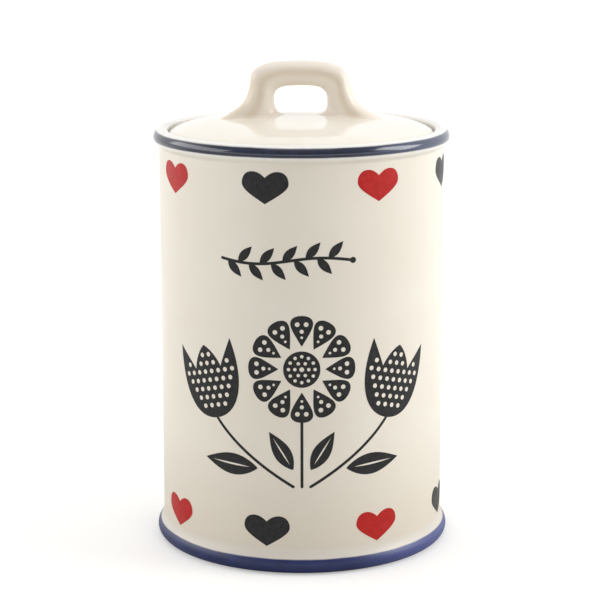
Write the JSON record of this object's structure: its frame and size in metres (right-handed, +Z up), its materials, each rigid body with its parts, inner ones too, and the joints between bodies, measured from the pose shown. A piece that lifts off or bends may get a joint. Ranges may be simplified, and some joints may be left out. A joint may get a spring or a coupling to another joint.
{
  "type": "biscuit jar",
  "caption": "Round glazed ceramic biscuit jar with a lift-off lid, strap handle, blue bead lines and a printed front.",
  "frame": {"origin": "centre of the foot ring, on the surface that the jar stands on", "axes": "+Z up along the jar's axis, -Y towards the printed front, X along the handle"},
  "size_m": [0.1472, 0.1472, 0.2399],
  "materials": {
    "cream_glaze": "satin glaze",
    "ivory_glaze": "gloss glaze",
    "blue_glaze": "gloss glaze",
    "red_transfer": "satin transfer",
    "charcoal_transfer": "satin transfer",
    "seal_silicone": "matte"
  },
  "bodies": {
    "jar": {"jar_body": "cream_glaze", "rim_band": "blue_glaze", "foot_band": "blue_glaze", "hearts_red": "red_transfer", "hearts_charcoal": "charcoal_transfer", "flower_print": "charcoal_transfer", "sprig_print": "charcoal_transfer"},
    "seal": {"lid_seal": "seal_silicone"},
    "lid": {"lid_cover": "ivory_glaze", "lid_handle": "ivory_glaze"}
  },
  "joints": [
    {"name": "lid_lift", "type": "slide", "parent": "jar", "child": "seal", "axis": [0, 0, 1], "range_m": [0, 0.11]},
    {"name": "lid_turn", "type": "hinge", "parent": "seal", "child": "lid", "pos_m": [0, 0, 0.2014], "axis": [0, 0, 1], "continuous": true}
  ]
}
